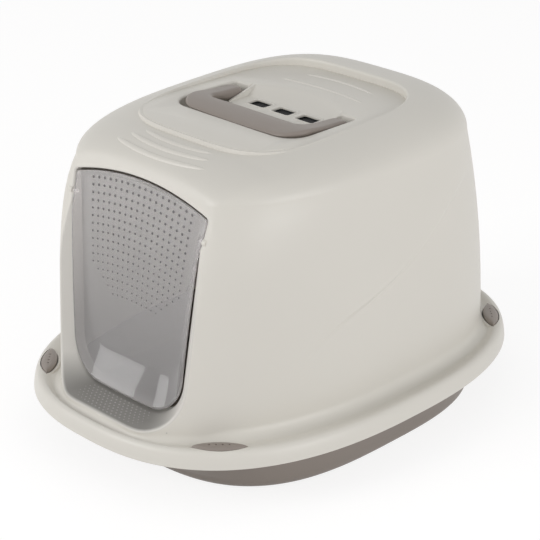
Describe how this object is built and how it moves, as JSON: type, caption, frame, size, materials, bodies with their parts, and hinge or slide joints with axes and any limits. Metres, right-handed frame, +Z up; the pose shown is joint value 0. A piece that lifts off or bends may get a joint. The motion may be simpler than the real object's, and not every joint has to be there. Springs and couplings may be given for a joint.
{
  "type": "hooded cat litter box",
  "caption": "Oval covered litter tray with a domed hood, a clear swinging entrance flap, a recessed folding carry handle, roof vents over a filter and rocking rim clips.",
  "frame": {"origin": "on the floor, under the middle of the rim", "axes": "+Z up, -Y towards the entrance flap, +X to the right-hand side of someone who looks along +Y at the entrance"},
  "size_m": [0.435, 0.58, 0.3643],
  "materials": {
    "tray": "satin moulded taupe plastic",
    "hood": "satin moulded warm grey plastic",
    "flap": "clear, slightly smoky plastic",
    "handle": "satin moulded taupe plastic",
    "clip": "satin moulded taupe plastic",
    "holder": "satin moulded warm grey plastic",
    "filter": "black carbon foam"
  },
  "bodies": {
    "base": {"tray": "tray"},
    "cover": {"hood": "hood"},
    "flap": {"door_flap": "flap"},
    "handle": {"carry_handle": "handle"},
    "clip_front_left": {"latch_front_left": "clip"},
    "clip_front_right": {"latch_front_right": "clip"},
    "clip_rear_left": {"latch_rear_left": "clip"},
    "clip_rear_right": {"latch_rear_right": "clip"},
    "filter": {"filter_holder": "holder", "carbon_filter": "filter"}
  },
  "joints": [
    {"name": "hood_lift", "type": "slide", "parent": "base", "child": "cover", "axis": [0, 0, 1], "range_m": [0, 0.25]},
    {"name": "door_swing", "type": "hinge", "parent": "cover", "child": "flap", "pos_m": [0, -0.207, 0.2835], "axis": [1, 0, 0], "range_deg": [-80, 80]},
    {"name": "handle_swing", "type": "hinge", "parent": "cover", "child": "handle", "pos_m": [0, 0.012, 0.347], "axis": [-1, 0, 0], "range_deg": [0, 90]},
    {"name": "latch_front_left_rock", "type": "hinge", "parent": "cover", "child": "clip_front_left", "pos_m": [-0.13965, -0.22424, 0.0686], "axis": [-0.7071, 0.7071, 0], "range_deg": [0, 15]},
    {"name": "latch_front_right_rock", "type": "hinge", "parent": "cover", "child": "clip_front_right", "pos_m": [0.13965, -0.22424, 0.0686], "axis": [-0.7071, -0.7071, 0], "range_deg": [0, 15]},
    {"name": "latch_rear_left_rock", "type": "hinge", "parent": "cover", "child": "clip_rear_left", "pos_m": [-0.13965, 0.22424, 0.0686], "axis": [0.7071, 0.7071, 0], "range_deg": [0, 15]},
    {"name": "latch_rear_right_rock", "type": "hinge", "parent": "cover", "child": "clip_rear_right", "pos_m": [0.13965, 0.22424, 0.0686], "axis": [0.7071, -0.7071, 0], "range_deg": [0, 15]},
    {"name": "filter_slide", "type": "slide", "parent": "cover", "child": "filter", "axis": [0, 1, 0], "range_m": [0, 0.05]}
  ]
}
